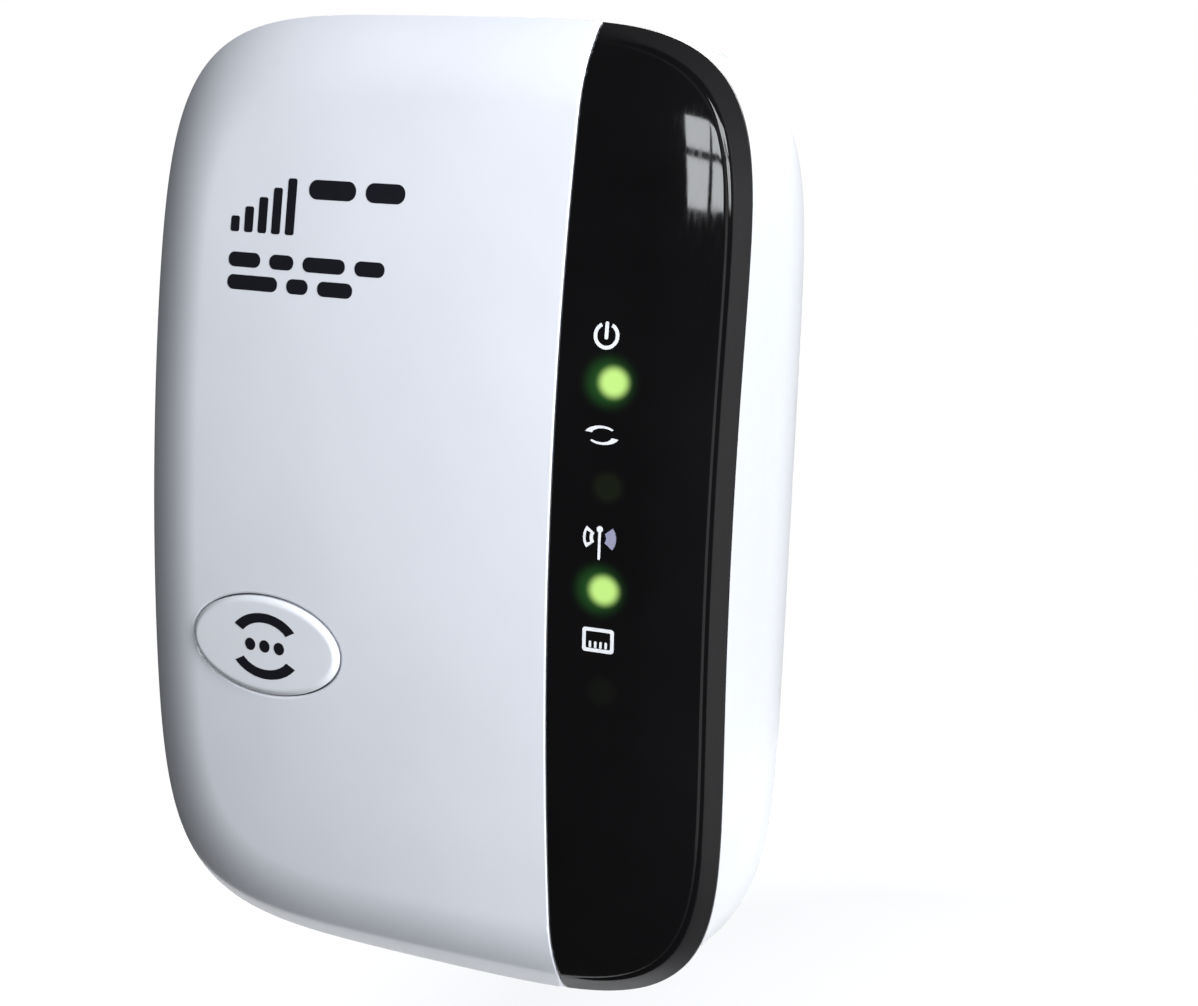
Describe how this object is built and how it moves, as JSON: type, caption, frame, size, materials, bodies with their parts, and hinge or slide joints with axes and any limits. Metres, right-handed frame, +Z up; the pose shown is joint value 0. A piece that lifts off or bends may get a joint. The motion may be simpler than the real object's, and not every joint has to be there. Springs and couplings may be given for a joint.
{
  "type": "wifi range extender",
  "caption": "Wall-plug wifi range extender: crowned white cover with a glossy black indicator strip, oval sprung button, vented rear shell, flat plug blades and a network socket.",
  "frame": {"origin": "centre of the flat rear face that lies against the wall", "axes": "+X to the viewer's right, +Y into the wall, +Z up"},
  "size_m": [0.0764, 0.0489, 0.1107],
  "materials": {
    "cover_white": "polished bluish-white ABS",
    "strip_black": "piano-black gloss",
    "button_white": "satin white ABS",
    "rear_white": "fine spark-eroded white ABS",
    "label": "blank satin film",
    "screw_steel": "zinc-plated",
    "carrier_plastic": "matt flame-retardant plastic",
    "blade_nickel": "nickel-plated brass",
    "lead_white": "PVC insulation",
    "lead_black": "PVC insulation",
    "board_green": "solder-masked board",
    "board_tan": "paper-phenolic board",
    "chip_black": "moulded epoxy",
    "thermal_pad": "soft silicone",
    "heat_sink": "extruded",
    "crystal_can": "nickel can",
    "antenna_metal": "stamped, tin-plated",
    "led_lens": "clear lens",
    "baffle_white": "opaque white",
    "switch_black": "moulded",
    "plunger_white": "moulded",
    "plunger_red": "moulded",
    "jack_black": "moulded glass-filled",
    "contact_gold": "gold flash",
    "ferrite": "sintered ferrite",
    "winding_tape": "polyester tape",
    "capacitor_sleeve": "heat-shrunk sleeve",
    "capacitor_green": "heat-shrunk sleeve",
    "resistor_body": "lacquered",
    "disc_blue": "dipped epoxy"
  },
  "bodies": {
    "case": {"front_shell": "cover_white", "indicator_strip": "strip_black", "rear_shell": "rear_white", "rating_label": "label", "case_screw_1": "screw_steel", "case_screw_2": "screw_steel", "case_screw_3": "screw_steel", "case_screw_4": "screw_steel", "plug_carrier": "carrier_plastic", "plug_blade_left": "blade_nickel", "plug_blade_right": "blade_nickel", "neutral_lead": "lead_white", "live_lead": "lead_black", "main_board": "board_green", "soc_chip": "chip_black", "thermal_pad": "thermal_pad", "heat_sink": "heat_sink", "memory_chip": "chip_black", "flash_chip": "chip_black", "clock_crystal": "crystal_can", "lan_transformer": "chip_black", "antenna_2g": "antenna_metal", "antenna_5g": "antenna_metal", "led_power": "led_lens", "led_sync": "led_lens", "led_signal": "led_lens", "led_ethernet": "led_lens", "light_baffle": "baffle_white", "wps_switch_body": "switch_black", "reset_switch_body": "switch_black", "ethernet_jack": "jack_black", "ethernet_contacts": "contact_gold", "power_board": "board_tan", "power_board_screw_1": "screw_steel", "power_board_screw_2": "screw_steel", "transformer_core": "ferrite", "transformer_winding": "winding_tape", "bulk_capacitor_1": "capacitor_sleeve", "bulk_capacitor_2": "capacitor_sleeve", "output_capacitor": "capacitor_green", "filter_choke": "ferrite", "fuse_resistor": "resistor_body", "bridge_rectifier": "chip_black", "safety_capacitor": "disc_blue", "supply_controller": "chip_black", "board_link": "switch_black"},
    "wps_button": {"wps_button": "button_white"},
    "wps_plunger": {"wps_switch_plunger": "plunger_white"},
    "reset_plunger": {"reset_switch_plunger": "plunger_red"}
  },
  "joints": [
    {"name": "wps_press", "type": "slide", "parent": "case", "child": "wps_button", "axis": [0, 1, 0], "range_m": [0, 0.0005], "stiffness_N_per_m": 1600},
    {"name": "wps_plunger_travel", "type": "slide", "parent": "case", "child": "wps_plunger", "axis": [0, 1, 0], "range_m": [0, 0.0005]},
    {"name": "reset_press", "type": "slide", "parent": "case", "child": "reset_plunger", "axis": [0, 0, 1], "range_m": [0, 0.0003], "stiffness_N_per_m": 3000}
  ],
  "couplings": [
    {"joint": "wps_plunger_travel", "follows": "wps_press", "ratio": 1}
  ]
}
